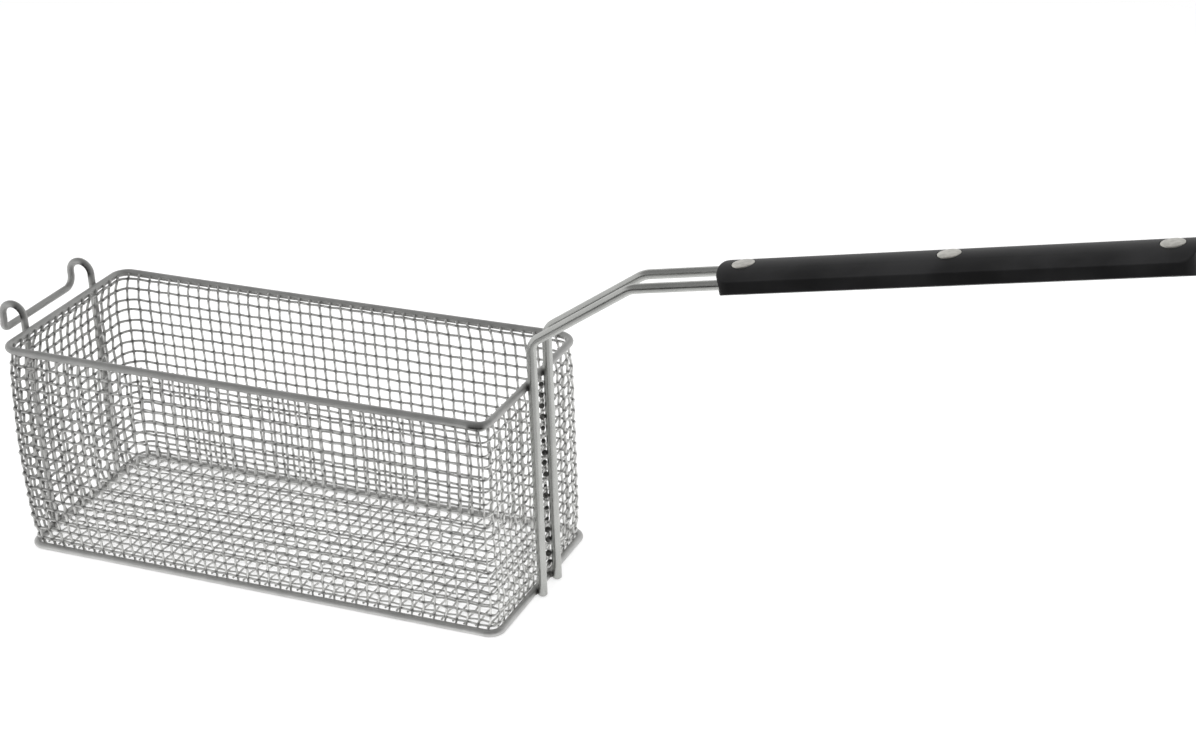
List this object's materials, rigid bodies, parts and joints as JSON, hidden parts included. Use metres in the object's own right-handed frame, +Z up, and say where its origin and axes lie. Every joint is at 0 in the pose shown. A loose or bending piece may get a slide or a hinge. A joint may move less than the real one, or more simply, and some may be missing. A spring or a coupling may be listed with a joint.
{
  "type": "deep fryer basket",
  "caption": "Long rectangular wire mesh fryer basket with a wire rim and base ring, hooks at one end and a bent rod handle with a riveted moulded grip at the other.",
  "frame": {"origin": "under the centre of the basket, on the surface that the base ring stands on", "axes": "+X from the hooks towards the grip, +Y across the basket, +Z up"},
  "size_m": [0.7522, 0.1396, 0.2829],
  "materials": {
    "ring_plate": "satin nickel plate on steel wire",
    "mesh_plate": "satin nickel plate on woven steel wire",
    "rod_plate": "bright nickel plate on steel rod",
    "grip_plastic": "fine matt moulded black",
    "rivet_metal": "satin"
  },
  "bodies": {
    "root": {"top_rim": "ring_plate", "base_ring": "ring_plate", "wall_mesh": "mesh_plate", "floor_mesh": "mesh_plate", "hanger_wire": "ring_plate", "handle_rod": "rod_plate", "grip_upper_shell": "grip_plastic", "grip_lower_shell": "grip_plastic", "grip_rivet_front": "rivet_metal", "grip_rivet_middle": "rivet_metal", "grip_rivet_rear": "rivet_metal"}
  },
  "joints": []
}
